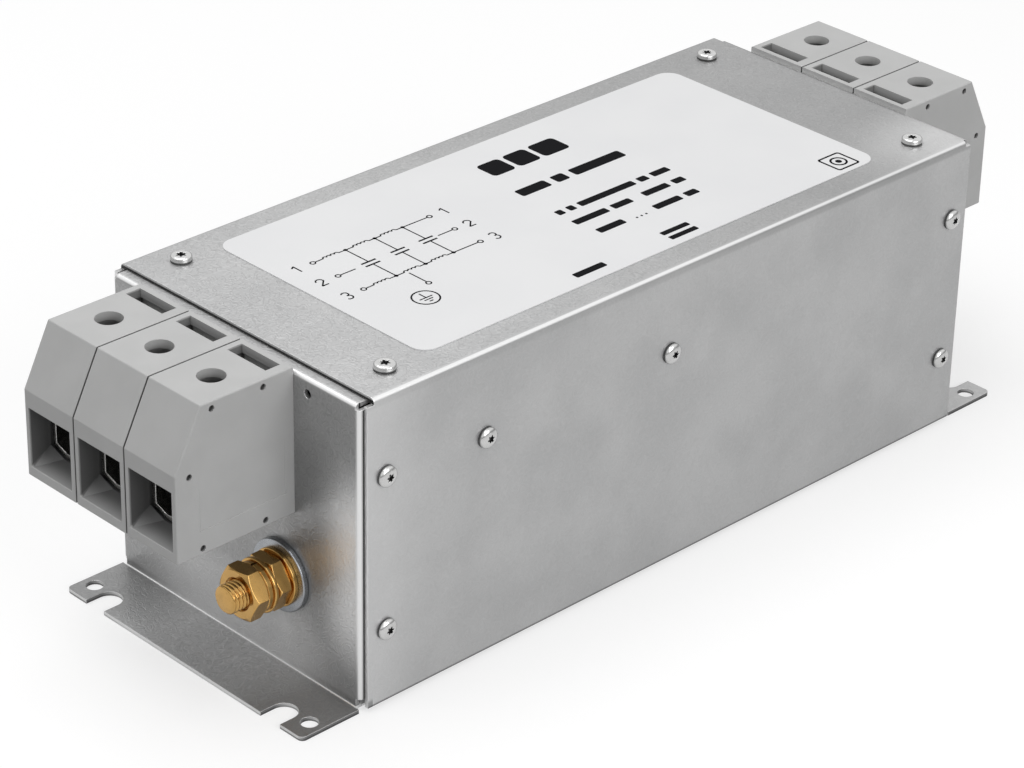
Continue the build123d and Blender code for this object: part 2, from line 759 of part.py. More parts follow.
with BuildPart() as bridge:
    with BuildSketch(Plane.YZ.offset(bridge_start_x)):
        with BuildLine():
            low_side = FilletPolyline(
                (-cover_inside_y, bridge_z + bridge_flange), (-cover_inside_y, bridge_z),
                (cover_inside_y, bridge_z), (cover_inside_y, bridge_z + bridge_flange),
                radius=outer_bend)
            high_side = FilletPolyline(
                (-lip_inside_y, bridge_z + bridge_flange), (-lip_inside_y, bridge_top),
                (lip_inside_y, bridge_top), (lip_inside_y, bridge_z + bridge_flange),
                radius=inner_bend)
            Line(low_side @ 0, high_side @ 0)
            Line(low_side @ 1, high_side @ 1)
        make_face()
    extrude(amount=bridge_length)
    with BuildSketch(Plane.XY.offset(bridge_z)):
        with Locations(*pillar_places):
            Circle(pillar_hole_radius)
        with Locations(*spacer_places):
            Circle(board_screw_radius)
    extrude(amount=sheet, mode=Mode.SUBTRACT)
    for face in side_faces():
        with BuildSketch(face):
            with Locations(*on_side(face, bridge_screw_places)):
                Circle(screw_radius + screw_hole_gap)
        extrude(amount=-3 * sheet, mode=Mode.SUBTRACT)
save(bridge, "board_bridge")

with BuildPart() as board:
    with BuildSketch(Plane.XY.offset(board_z)):
        with Locations((board_x, 0)):
            Rectangle(board_length, 2 * board_half_width)
        with Locations(*pillar_places):
            Circle(pillar_stud_radius, mode=Mode.SUBTRACT)
        with Locations(*spacer_places):
            Circle(board_screw_radius, mode=Mode.SUBTRACT)
    extrude(amount=board_thickness)
save(board, "capacitor_board")

with BuildPart() as spacers:
    with BuildSketch(Plane.XY.offset(bridge_top)):
        with Locations(*spacer_places):
            RegularPolygon(spacer_radius, 6)
            Circle(board_screw_radius, mode=Mode.SUBTRACT)
    extrude(amount=spacer_height)
save(spacers, "board_spacers")

with BuildPart() as board_screws:
    with BuildSketch(Plane.XY.offset(bridge_z)):
        with Locations(*spacer_places):
            Circle(board_screw_radius)
    extrude(amount=board_top - bridge_z)
    with BuildSketch(Plane.XY.offset(board_top)):
        with Locations(*spacer_places):
            Circle(board_head_radius)
    extrude(amount=1.5 * board_screw_radius)
save(board_screws, "board_screws")

with BuildPart() as pillars:
    with BuildSketch(Plane.XY.offset(bar_top_low)):
        with Locations(*pillar_places):
            Circle(pillar_radius)
    extrude(amount=board_z - bar_top_low)
    with BuildSketch(Plane.XY.offset(bar_top_low - bar_thickness)):
        with Locations(*pillar_places):
            Circle(pillar_stud_radius)
    extrude(amount=board_top + 1.3 * pillar_nut_height - bar_top_low + bar_thickness)
save(pillars, "phase_pillars")

with BuildPart() as pillar_nuts:
    with BuildSketch(Plane.XY.offset(board_top)):
        with Locations(*pillar_places):
            RegularPolygon(pillar_nut_flats / 2, 6, major_radius=False)
            Circle(pillar_stud_radius, mode=Mode.SUBTRACT)
    extrude(amount=pillar_nut_height)
save(pillar_nuts, "pillar_nuts")

for number in (1, 2, 3):
    row_y = (number - 2) * row_pitch
    with BuildPart() as x_capacitor:
        with Locations((x_cap_x, row_y, board_top)):
            Box(*x_cap_size, align=(Align.CENTER, Align.CENTER, Align.MIN))
        edges = x_capacitor.edges().filter_by(lambda e: e.center().Z > board_top + 0.01)
        fillet(edges, radius=cap_edge_radius)
    save(x_capacitor, f"line_capacitor_{number}")
    with BuildPart() as y_capacitor:
        with Locations((y_cap_x, row_y, board_top)):
            Box(*y_cap_size, align=(Align.CENTER, Align.CENTER, Align.MIN))
        edges = y_capacitor.edges().filter_by(lambda e: e.center().Z > board_top + 0.01)
        fillet(edges, radius=cap_edge_radius)
    save(y_capacitor, f"earth_capacitor_{number}")

with BuildPart() as resistors:
    body_z = board_top + resistor_radius + lead_reach / 2
    for row in (-1, 0, 1):
        row_y = row * row_pitch
        lead_y = resistor_length / 2 + lead_reach
        with Locations((resistor_x, row_y, body_z)):
            Cylinder(resistor_radius, resistor_length, rotation=(90, 0, 0))
        with BuildLine() as lead:
            FilletPolyline(
                (resistor_x, row_y - lead_y, board_top), (resistor_x, row_y - lead_y, body_z),
                (resistor_x, row_y + lead_y, body_z), (resistor_x, row_y + lead_y, board_top),
                radius=3 * lead_radius)
        with BuildSketch(Plane(lead.line @ 0, z_dir=lead.line % 0)):
            Circle(lead_radius)
        sweep(path=lead.line)
save(resistors, "bleed_resistors")

# Earth stud with its washers and nuts, outwards from the wall
wide_start = -half_length
brass_start = wide_start - wide_washer
clamp_nut_start = brass_start - brass_washer
cable_start = clamp_nut_start - clamp_nut_height
spring_start = cable_start - brass_washer
cable_nut_start = spring_start - spring_washer
head_start = -wall_inside + inner_washer + stud_head_height

save(washer(-wall_inside + inner_washer, inner_washer, brass_washer_radius), "stud_inner_washer")
save(washer(wide_start, wide_washer, wide_washer_radius), "stud_wide_washer")
save(washer(brass_start, brass_washer, brass_washer_radius), "stud_brass_washer")
save(hexagon(clamp_nut_start, clamp_nut_height, stud_radius), "stud_clamp_nut")
save(washer(cable_start, brass_washer, cable_washer_radius), "stud_cable_washer")

with BuildPart() as spring_ring:
    with BuildSketch(Plane.YZ.offset(spring_start)):
        with Locations((stud_y, stud_z)):
            Circle(spring_washer_radius)
            Circle(stud_radius + stud_hole_gap, mode=Mode.SUBTRACT)
            Rectangle(1.0, 2 * spring_washer_radius, align=(Align.CENTER, Align.MIN),
                      mode=Mode.SUBTRACT)
    extrude(amount=-spring_washer)
save(spring_ring, "stud_spring_washer")
save(hexagon(cable_nut_start, cable_nut_height, stud_radius), "stud_cable_nut")

stud_head = hexagon(head_start, stud_head_height, 0)
with BuildPart() as stud:
    add(stud_head.part)
    with BuildSketch(Plane.YZ.offset(head_start - stud_head_height)):
        with Locations((stud_y, stud_z)):
            Circle(stud_radius)
    extrude(amount=-(half_length + stud_reach + head_start - stud_head_height))
    tip = stud.edges().filter_by(GeomType.CIRCLE).sort_by(Axis.X)[0]
    chamfer(tip, length=0.9)
save(stud, "earth_stud")
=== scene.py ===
import json
import math
import random

import bmesh
import bpy
from mathutils import Matrix, Vector

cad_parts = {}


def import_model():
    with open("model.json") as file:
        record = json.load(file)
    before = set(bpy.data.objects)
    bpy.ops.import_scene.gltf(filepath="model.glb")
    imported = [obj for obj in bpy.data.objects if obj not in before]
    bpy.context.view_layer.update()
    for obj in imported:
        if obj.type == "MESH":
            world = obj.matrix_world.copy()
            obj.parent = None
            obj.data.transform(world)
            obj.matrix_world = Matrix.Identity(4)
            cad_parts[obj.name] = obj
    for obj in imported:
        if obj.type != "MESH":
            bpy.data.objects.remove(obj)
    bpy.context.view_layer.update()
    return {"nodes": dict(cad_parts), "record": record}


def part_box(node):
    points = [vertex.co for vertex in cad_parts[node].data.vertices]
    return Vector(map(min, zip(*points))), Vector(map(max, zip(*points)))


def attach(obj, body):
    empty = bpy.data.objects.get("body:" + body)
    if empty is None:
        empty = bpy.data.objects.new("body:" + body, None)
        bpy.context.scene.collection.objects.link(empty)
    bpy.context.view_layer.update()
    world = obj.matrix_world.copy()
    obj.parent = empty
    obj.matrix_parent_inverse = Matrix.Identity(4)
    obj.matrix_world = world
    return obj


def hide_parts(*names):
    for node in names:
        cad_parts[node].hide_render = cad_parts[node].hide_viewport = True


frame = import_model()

MM = 0.001
NODES = frame["nodes"]
random.seed(7)

# Places in millimetres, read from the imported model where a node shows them.
LABEL_THICKNESS = 0.3
SHEET = 1.5
TOP_SET_BACK = 2.6      # ends of the top panel behind the ends of the side panels
SIDE_SET_BACK = 2.2     # ends of the side panels behind the walls
LABEL_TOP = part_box("rating_label")[1].z / MM
COVER_TOP = LABEL_TOP - LABEL_THICKNESS
COVER_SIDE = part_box("cover")[1].y / MM
SIDE_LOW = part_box("cover")[0].z / MM
SIDE_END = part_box("cover")[1].x / MM
TOP_END = SIDE_END - TOP_SET_BACK
WALL_X = SIDE_END + SIDE_SET_BACK
STUD_LOW, STUD_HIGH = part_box("earth_stud")
STUD_Y = (STUD_LOW.y + STUD_HIGH.y) / 2 / MM
STUD_Z = (STUD_LOW.z + STUD_HIGH.z) / 2 / MM
NUT_TURN = math.radians(-3)
WASHER_BORE = 5.3
BLOCK_LOW, BLOCK_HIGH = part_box("terminal_housing_line_2")
BLOCK_Y = (BLOCK_LOW.y + BLOCK_HIGH.y) / 2 / MM
BLOCK_PITCH = 25.0


# Materials


class Shader:
    """A node material, built up call by call, in millimetres of the part's own frame."""

    def __init__(self, name):
        self.material = bpy.data.materials.new(name)
        self.material.use_nodes = True
        self.tree = self.material.node_tree
        self.surface = self.tree.nodes["Principled BSDF"]
        place = self.node("TexCoord").outputs["Object"]
        self.mm = self.node("VectorMath", {0: place, "Scale": 1 / MM}, operation="SCALE").outputs[0]

    def node(self, kind, inputs=None, **settings):
        made = self.tree.nodes.new("ShaderNode" + kind)
        for key, value in settings.items():
            setattr(made, key, value)
        for key, value in (inputs or {}).items():
            self.put(made.inputs[key], value)
        return made

    def put(self, socket, value):
        if isinstance(value, bpy.types.NodeSocket):
            self.tree.links.new(value, socket)
        else:
            socket.default_value = value

    def math(self, operation, *values):
        """Apply an operation along a list of values."""
        total = values[0]
        if len(values) == 1:
            return self.node("Math", {0: total}, operation=operation).outputs[0]
        for value in values[1:]:
            total = self.node("Math", {0: total, 1: value}, operation=operation).outputs[0]
        return total

    def mult(self, *values):
        return self.math("MULTIPLY", *values)

    def plus(self, *values):
        return self.math("ADD", *values)

    def minus(self, a, b):
        return self.math("SUBTRACT", a, b)

    def most(self, *values):
        return self.math("MAXIMUM", *values)

    def least(self, *values):
        return self.math("MINIMUM", *values)

    def absolute(self, value):
        return self.math("ABSOLUTE", value)

    def above(self, value, limit):
        return self.math("GREATER_THAN", value, limit)

    def below(self, value, limit):
        return self.math("LESS_THAN", value, limit)

    def axis(self, name, place=None):
        return self.node("SeparateXYZ", {0: place or self.mm}).outputs[name]

    def noise(self, size, detail=2.0, rough=0.5):
        """Noise whose features are about size millimetres across."""
        return self.node("TexNoise", {"Vector": self.mm, "Scale": 1 / size,
                                      "Detail": detail, "Roughness": rough}).outputs["Fac"]

    def remap(self, value, low, high, to_low=0.0, to_high=1.0):
        return self.node("MapRange", {"Value": value, "From Min": low, "From Max": high,
                                      "To Min": to_low, "To Max": to_high},
                         interpolation_type="SMOOTHSTEP").outputs[0]

    def fade(self, value, low, high):
        """1 up to low, 0 from high on."""
        return self.remap(value, low, high, 1.0, 0.0)

    def mix(self, share, a, b):
        return self.node("Mix", {"Factor": share, 6: a, 7: b}, data_type="RGBA").outputs[2]

    def line(self, value, place, width):
        """1 on a thin line where value is place."""
        return self.fade(self.absolute(self.minus(value, place)), width * 0.4, width)

    def rounded(self, radius):
        """Normals of slightly broken edges."""
        return self.node("Bevel", {"Radius": radius * MM}, samples=6).outputs[0]

    def edges(self, normal):
        """1 where the rounded normal leaves the face's own, so along edges."""
        own = self.node("NewGeometry").outputs["Normal"]
        match = self.node("VectorMath", {0: normal, 1: own}, operation="DOT_PRODUCT").outputs["Value"]
        return self.fade(match, 0.8, 0.985)

    def squiggles(self, size, lines, width):
        """Short winding lines: contours of a smooth noise, broken up by a second one."""
        steps = self.math("FRACT", self.mult(self.noise(size, detail=1.0), lines))
        off = self.absolute(self.minus(steps, 0.5))
        return self.mult(self.fade(off, width * 0.3, width), self.remap(self.noise(size * 0.8), 0.3, 0.44))

    def bump(self, height, depth, normal=None):
        made = self.node("Bump", {"Height": height, "Distance": depth * MM, "Strength": 1.0})
        if normal is not None:
            self.put(made.inputs["Normal"], normal)
        return made.outputs[0]

    def finish(self, **values):
        names = {"colour": "Base Color", "metal": "Metallic", "rough": "Roughness",
                 "normal": "Normal", "specular": "Specular IOR Level", "coat": "Coat Weight"}
        for key, value in values.items():
            self.put(self.surface.inputs[names[key]], value)
        return self.material


def grey(value, warm=0.0):
    """A grey with a warm cast, or a cold one below 0."""
    return (value * (1 + warm), value, value * (1 - warm), 1.0)


class SheetShader(Shader):
    """Zinc plated sheet; knows where a point of the case lies and which way its face looks."""

    def __init__(self, name):
        super().__init__(name)
        facing = self.node("TexCoord").outputs["Normal"]
        self.on_x, self.on_y, self.on_z = (self.absolute(self.axis(letter, facing)) for letter in "XYZ")
        self.x, self.y, self.z = (self.axis(letter) for letter in "XYZ")
        self.out_x, self.out_y = self.absolute(self.x), self.absolute(self.y)
        self.ends = self.above(self.out_x, SIDE_END - 2.0)

    def crystals(self):
        """Bright and dull lines: most on the top and walls, few on the rolled sides, none on folds."""
        turned = self.plus(self.mult(self.on_x, self.on_y), self.mult(self.on_y, self.on_z),
                           self.mult(self.on_x, self.on_z))
        share = self.mult(self.most(self.on_z, self.on_x, 0.3), self.fade(turned, 0.06, 0.2))
        lines, width = 7.0, 0.18
        return [self.mult(self.squiggles(size, lines, width), share) for size in (4.9, 4.3)]

    def cover_painted_light(self, tone):
        """Painted light on the cover: painted shade on the top towards the load end but a painted
        highlight at its near corner, painted light on the sides at the line end.
        """
        # Painted shade: the top darker towards the load end.
        dull = self.mult(self.remap(self.x, -110.0, 100.0), self.remap(self.y, -50.0, 40.0, 0.55, 0.45),
                         self.on_z)
        tone = self.mix(dull, tone, grey(0.26))
        # Painted light: the sides lighter at the line end.
        side_painted_light = self.mult(self.remap(self.x, -WALL_X, -108.0, 0.3, 0.0), self.on_y)
        tone = self.mix(side_painted_light, tone, grey(0.9))
        # Painted highlight: the top lighter at its near corner of the load end.
        corner_painted_light = self.mult(self.remap(self.x, 84.0, 138.0, 0.0, 0.42),
                                  self.fade(self.y, -52.0, -20.0), self.on_z)
        return self.mix(corner_painted_light, tone, grey(0.95))

    def low_painted_light(self, tone):
        """Painted shade on the feet towards their ears, a painted highlight over painted shade on their
        cut edges, a painted shadow along the lower edge of the sides.
        """
        # Painted shade on the feet towards their ears, deeper at the line end.
        foot = self.fade(self.z, 3.0, 5.0)
        line_end = self.remap(self.x, -1.0, 1.0, 1.0, 0.25)
        ears = self.remap(self.out_y, 15.0, 46.0, 0.08, 0.75)
        tone = self.mix(self.mult(foot, self.ends, line_end, ears), tone, grey(0.22))
        # Painted highlight on the upper half of the feet's cut edges, painted shade on the lower half.
        rim = self.mult(self.above(self.out_x, WALL_X + 0.5), foot, self.fade(self.on_z, 0.3, 0.6))
        tone = self.mix(rim, tone, self.mix(self.remap(self.z, 0.45, 0.75), grey(0.16), grey(0.9)))
        # Painted shadow along the lower edge of the sides.
        under = self.mult(self.remap(self.z, SIDE_LOW + 0.1, SIDE_LOW + 0.95, 0.85, 0.0), self.on_y)
        return self.mix(under, tone, grey(0.04))

    def wall_painted_light(self, tone):
        """Painted light on the walls: painted shade all over, deepest round the stud where its shadow
        falls, and painted reflections lighter low down and by the lip.
        """
        wall = self.mult(self.ends, self.on_x)
        # Painted shade over the walls, deepest round the stud.
        stud_shade_y, stud_shade_z, stud_shade_width, stud_shade_height = -41.0, 58.0, 16.0, 34.0
        across = self.math("DIVIDE", self.minus(self.y, stud_shade_y), stud_shade_width)
        up = self.math("DIVIDE", self.minus(self.z, stud_shade_z), stud_shade_height)
        wall_shade = self.plus(self.math("POWER", across, 2.0), self.math("POWER", up, 2.0))
        wall_shade = self.plus(self.remap(wall_shade, 0.2, 1.5, 0.35, 0.0), 0.3)
        tone = self.mix(self.mult(wall, wall_shade), tone, grey(0.2))
        # Painted reflections: the walls lighter low down and by the lip.
        ragged = self.plus(self.z, self.remap(self.noise(22.0), 0.3, 0.7, -5.0, 5.0))
        low = self.mult(self.fade(ragged, 6.0, 34.0), self.remap(self.out_y, 22.0, 56.0, 0.72, 0.05))
        lip = self.mult(self.remap(self.y, -56.0, -38.0, 0.6, 0.0), self.fade(self.z, 66.0, 94.0),
                        self.remap(self.z, 4.0, 34.0))
        return self.mix(self.mult(wall, self.most(low, lip)), tone, grey(0.95))

    def folds(self):
        """1 on the folds, which carry a painted highlight."""
        corner = self.mult(self.on_x, self.on_y, self.above(self.out_y, COVER_SIDE - 3.5),
                           self.above(self.z, 4.0))
        shoulder = self.mult(self.on_y, self.on_z, self.above(self.out_y, COVER_SIDE - 3.0),
                             self.remap(self.x, -130.0, WALL_X, 1.0, 0.82))
        crease = self.mult(self.on_x, self.on_z,
                           self.plus(self.below(self.z, 4.0), self.above(self.z, COVER_TOP - 4.0)))
        foot_fold = self.mult(self.fade(self.z, SHEET + 0.1, SHEET + 0.5),
                              self.fade(self.out_x, WALL_X + 0.2, WALL_X + 0.7),
                              self.ends, self.below(self.out_y, COVER_SIDE - 2.5))
        return self.most(self.remap(self.most(crease, corner, shoulder), 0.26, 0.47), foot_fold)

    def fold_shade(self, tone):
        """Shade on the sides just below the long folds, deeper towards the load end."""
        shade = self.mult(self.remap(self.z, COVER_TOP - 4.0, COVER_TOP - 2.6),
                          self.remap(self.on_y, 0.75, 0.95),
                          self.remap(self.x, -WALL_X, WALL_X, 0.12, 0.4))
        return self.mix(shade, tone, grey(0.2))

    def joints(self, tone):
        """Cut ends of the cover, with a painted highlight on the side panels' ends and painted shade on
        the top panel's ends, and a painted shadow beside them on the lips below.
        """
        cut = self.remap(self.on_x, 0.7, 0.9)
        # Painted highlight on the side panels' cut ends; painted shade on the lower part of the top
        # panel's cut ends.
        side_cut_highlight = self.mult(self.line(self.out_x, SIDE_END, 0.3), cut)
        top_cut_shade = self.mult(self.line(self.out_x, TOP_END, 0.3), cut,
                            self.fade(self.z, COVER_TOP - 0.9, COVER_TOP - 0.5))
        # Painted shadow on the lips beside the cover's cut ends.
        side_joint_shadow = self.mult(self.fade(self.out_x, SIDE_END + 0.4, SIDE_END + 0.9),
                               self.above(self.out_x, SIDE_END + 0.01), self.remap(self.on_y, 0.7, 0.9))
        top_joint_shadow = self.mult(self.fade(self.out_x, TOP_END + 0.1, TOP_END + 0.5),
                              self.above(self.out_x, TOP_END + 0.01), self.remap(self.on_z, 0.7, 0.9))
        tone = self.mix(side_cut_highlight, tone, grey(0.9))
        return self.mix(self.most(side_joint_shadow, top_joint_shadow, top_cut_shade), tone, grey(0.035))


def zinc_sheet():
    """Satin zinc plate: winding crystals of the bath, rolling tones, painted light and shade by place,
    painted highlights on the folds and edges, painted shadows at the joints.
    """
    s = SheetShader("zinc_sheet")
    bright, dull = s.crystals()
    grain = s.noise(0.26, detail=3.0)
    cloud = s.noise(26.0, detail=3.0)
    tone = s.mix(s.remap(cloud, 0.3, 0.7), grey(0.475, -0.004), grey(0.53, -0.002))
    tone = s.mix(s.mult(bright, 0.19), tone, grey(0.8))
    tone = s.mix(s.mult(dull, 0.21), tone, grey(0.2))
    tone = s.mix(s.remap(grain, 0.25, 0.75, 0.0, 0.13), tone, grey(0.36))
    tone = s.wall_painted_light(s.low_painted_light(s.cover_painted_light(tone)))
    fold_highlight = s.folds()
    # Painted highlight along the folds.
    tone = s.mix(s.mult(fold_highlight, 0.85), tone, grey(0.93))
    tone = s.joints(s.fold_shade(tone))
    rounded = s.rounded(0.4)
    # Painted highlight along the edges.
    tone = s.mix(s.mult(s.edges(rounded), 0.6), tone, grey(0.9))
    rough = s.plus(s.remap(grain, 0.3, 0.7, 0.36, 0.44), s.mult(bright, -0.08), s.mult(fold_highlight, -0.08))
    relief = s.mult(s.plus(s.minus(bright, dull), s.mult(grain, 0.4)), s.minus(1.0, fold_highlight))
    return s.finish(colour=tone, metal=0.72, rough=rough, normal=s.bump(relief, 0.032, rounded))


def block_shade(s):
    """How deep in shade a point of a terminal housing lies, and 1 on the seams of a row."""
    x, y, z = s.absolute(s.axis("X")), s.axis("Y"), s.axis("Z")
    top, bottom, front = BLOCK_HIGH.z / MM, BLOCK_LOW.z / MM, -BLOCK_LOW.x / MM
    entry_height, seam = 27.0, 0.15
    slope_start, slope_out, slope_up = 10.5, 0.894, 0.447

    # Depth below the nearest of the front, the top, the slope, the underside and the wall plane.
    deep_front = s.minus(front, x)
    deep_top = s.minus(top, z)
    deep_slope = s.plus(s.mult(s.minus(deep_front, slope_start), slope_out), s.mult(deep_top, slope_up))
    deep = s.least(deep_front, deep_top, deep_slope, s.minus(z, bottom), s.minus(x, WALL_X))

    # Depth below the flank, the same in each housing of a row.
    turn = s.math("FRACT", s.math("DIVIDE", s.minus(y, BLOCK_Y - BLOCK_PITCH / 2), BLOCK_PITCH))
    deep_flank = s.minus(BLOCK_PITCH / 2 - seam, s.mult(s.absolute(s.minus(turn, 0.5)), BLOCK_PITCH))

    mouth = s.mult(s.remap(deep, 0.15, 0.5), s.remap(deep, 0.5, 6.0, 0.45, 0.0),
                   s.below(z, bottom + entry_height))
    inside = s.mult(s.plus(s.remap(deep, 0.2, 6.0, 0.0, 0.85), mouth), s.remap(deep_flank, 0.5, 1.2))
    by_flank = s.mult(s.remap(deep, 0.3, 0.8), s.remap(deep_flank, 0.35, 0.9),
                      s.fade(deep_flank, 2.4, 3.4), 0.82)
    in_row = s.below(s.absolute(s.minus(y, BLOCK_Y)), BLOCK_PITCH)
    return s.most(inside, by_flank), s.mult(s.fade(deep_flank, 0.08, 0.22), in_row)


def terminal_plastic():
    """Moulded grey with fine spark grain, paler edges, dark seams and shaded openings."""
    s = Shader("terminal_plastic")
    grain = s.noise(0.22, detail=3.0)
    cloud = s.noise(14.0, detail=2.0)
    tone = s.mix(s.remap(cloud, 0.3, 0.7), (0.462, 0.463, 0.46, 1), (0.49, 0.491, 0.488, 1))
    tone = s.mix(s.remap(grain, 0.3, 0.75, 0.0, 0.25), tone, (0.42, 0.42, 0.418, 1))
    rounded = s.rounded(0.3)
    tone = s.mix(s.mult(s.edges(rounded), 0.35), tone, (0.72, 0.72, 0.716, 1))
    shade, seams = block_shade(s)
    tone = s.mix(shade, tone, grey(0.05))
    tone = s.mix(s.mult(seams, 0.9), tone, grey(0.06))
    return s.finish(colour=tone, metal=0.0, rough=s.remap(grain, 0.3, 0.7, 0.46, 0.56), specular=0.4,
                    normal=s.bump(s.mult(grain, 0.5), 0.012, rounded))


def label_film():
    """Off-white film with a faint tooth."""
    s = Shader("label_film")
    tone = s.mix(s.remap(s.noise(30.0), 0.3, 0.7), (0.715, 0.717, 0.725, 1), (0.735, 0.737, 0.742, 1))
    tooth = s.noise(0.35, detail=3.0)
    return s.finish(colour=tone, rough=s.remap(tooth, 0.3, 0.7, 0.38, 0.46), specular=0.45,
                    normal=s.bump(tooth, 0.006))


def label_ink():
    """Matt black print."""
    s = Shader("label_ink")
    tooth = s.noise(0.2, detail=3.0)
    tone = s.mix(s.remap(tooth, 0.35, 0.75), (0.004, 0.004, 0.005, 1), (0.009, 0.009, 0.01, 1))
    return s.finish(colour=tone, rough=s.remap(tooth, 0.3, 0.7, 0.7, 0.85), specular=0.06,
                    normal=s.bump(tooth, 0.004))


def metal(name, colour, dark, rough, wear=0.3, edge=0.12, rub_and_highlight=0.5):
    """Turned or plated metal: fine grain, drifting tone, a little tarnish, paler edges that are partly
    rubbed wear and partly a painted highlight.
    """
    s = Shader(name)
    fine = s.noise(0.15, detail=3.0)
    cloud = s.noise(3.2, detail=4.0, rough=0.6)
    tone = s.mix(s.remap(cloud, 0.35, 0.75, 0.0, wear), (*colour, 1), (*dark, 1))
    spots = s.remap(s.noise(0.9, detail=2.0), 0.62, 0.75, 0.0, wear)
    tone = s.mix(spots, tone, (*dark, 1))
    normal = s.rounded(edge)
    paler = tuple(min(1.0, part * 1.5 + 0.05) for part in colour)
    # Paler edges: partly rubbed wear, partly a painted highlight.
    tone = s.mix(s.mult(s.edges(normal), rub_and_highlight), tone, (*paler, 1))
    return s.finish(colour=tone, metal=1.0, rough=s.remap(fine, 0.3, 0.7, rough * 0.85, rough * 1.2),
                    normal=s.bump(fine, 0.004, normal))


def moulding(name, colour, dark, rough, coat=0.0):
    """Moulded or cast insulating part."""
    s = Shader(name)
    fine = s.noise(0.3, detail=3.0)
    cloud = s.noise(9.0, detail=3.0)
    tone = s.mix(s.remap(cloud, 0.3, 0.7), (*colour, 1), (*dark, 1))
    return s.finish(colour=tone, rough=s.remap(fine, 0.3, 0.7, rough * 0.9, rough * 1.1), specular=0.5,
                    coat=coat, normal=s.bump(fine, 0.008, s.rounded(0.2)))


def circuit_board():
    """Solder mask over a faint net of tracks."""
    s = Shader("board")
    track_pitch = 7.0
    off = s.absolute(s.minus(s.math("FRACT", s.math("DIVIDE", s.axis("X"), track_pitch)), 0.5))
    tracks = s.fade(off, 0.12, 0.14)
    tone = s.mix(s.mult(tracks, 0.5), (0.03, 0.14, 0.06, 1), (0.07, 0.27, 0.11, 1))
    return s.finish(colour=tone, rough=s.remap(s.noise(0.6), 0.3, 0.7, 0.25, 0.4),
                    normal=s.bump(tracks, 0.03, s.rounded(0.1)))


FINISHES = {
    "zinc_sheet": zinc_sheet(),
    "terminal_plastic": terminal_plastic(),
    "label_film": label_film(),
    "screw_steel": metal("screw_steel", (0.66, 0.66, 0.655), (0.46, 0.46, 0.455), 0.2, wear=0.25),
    "clamp_steel": metal("clamp_steel", (0.5, 0.495, 0.48), (0.32, 0.31, 0.29), 0.26,
                         wear=0.5, edge=0.45, rub_and_highlight=0.9),
    "tinned_copper": metal("tinned_copper", (0.72, 0.71, 0.68), (0.5, 0.48, 0.44), 0.32, wear=0.5),
    "brass": metal("brass", (0.62, 0.375, 0.125), (0.38, 0.22, 0.07), 0.2, wear=0.35),
    "zinc_washer": metal("zinc_washer", (0.4, 0.415, 0.435), (0.27, 0.28, 0.3), 0.27, wear=0.4),
    "core_case": moulding("core_case", (0.025, 0.025, 0.028), (0.04, 0.04, 0.043), 0.5),
    "insulator": moulding("insulator", (0.6, 0.57, 0.49), (0.54, 0.51, 0.43), 0.5),
    "tie_plastic": moulding("tie_plastic", (0.66, 0.65, 0.6), (0.6, 0.59, 0.53), 0.45),
    "board": circuit_board(),
    "capacitor_case": moulding("capacitor_case", (0.58, 0.42, 0.06), (0.52, 0.37, 0.05), 0.3, coat=0.3),
    "capacitor_case_blue": moulding("capacitor_case_blue", (0.03, 0.1, 0.32), (0.025, 0.08, 0.27), 0.3,
                                    coat=0.3),
    "resistor": moulding("resistor", (0.5, 0.44, 0.33), (0.44, 0.38, 0.28), 0.6),
}
INK = label_ink()
RECESS = metal("recess_shade", (0.13, 0.13, 0.13), (0.08, 0.08, 0.08), 0.4)

for part in frame["record"]["subparts"]:
    node = NODES[part["node"]]
    node.data.materials.clear()
    node.data.materials.append(FINISHES[part["material_slot"]])


# Pieces


def placed(name, data):
    """A new object in the scene."""
    made = bpy.data.objects.new(name, data)
    bpy.context.scene.collection.objects.link(made)
    return made


def in_metres(name, mesh):
    """Mesh data in metres from a mesh in millimetres."""
    data = bpy.data.meshes.new(name)
    bmesh.ops.scale(mesh, vec=(MM, MM, MM), verts=mesh.verts)
    mesh.to_mesh(data)
    mesh.free()
    return data


def piece(name, mesh, slot, body="case", replaces=(), material=None, second=None):
    """Make an object of a mesh in millimetres and let it ride on its body."""
    bmesh.ops.recalc_face_normals(mesh, faces=mesh.faces)
    data = in_metres(name, mesh)
    made = placed(name, data)
    data.materials.append(material or FINISHES[slot])
    if second:
        data.materials.append(second)
    data.shade_smooth()
    data.set_sharp_from_angle(angle=math.radians(32))
    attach(made, body)
    if replaces:
        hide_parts(*replaces)
    return made


def rings_to_faces(mesh, rings, closed=False):
    """Join rings of vertices with quads; closed joins the last ring to the first."""
    pairs = list(zip(rings, rings[1:]))
    if closed:
        pairs.append((rings[-1], rings[0]))
    faces = []
    for low, high in pairs:
        count = len(low)
        for i in range(count):
            j = (i + 1) % count
            faces.append(mesh.faces.new((low[i], low[j], high[j], high[i])))
    return faces


def cap(mesh, ring, centre):
    """Close a ring with a fan of triangles round its centre."""
    middle = mesh.verts.new(centre)
    return [mesh.faces.new((corner, ring[(i + 1) % len(ring)], middle)) for i, corner in enumerate(ring)]


def full_turn(steps, start=0.0):
    """Angles in equal steps round a circle."""
    return [start + 2 * math.pi * i / steps for i in range(steps)]


def arc(centre_depth, centre_radius, size, start, end):
    """Points of a rounded edge in a turned profile, angles in degrees from the +depth axis."""
    steps = 5
    turn = [math.radians(start + (end - start) * i / steps) for i in range(steps + 1)]
    return [(centre_depth + size * math.cos(t), centre_radius + size * math.sin(t)) for t in turn]


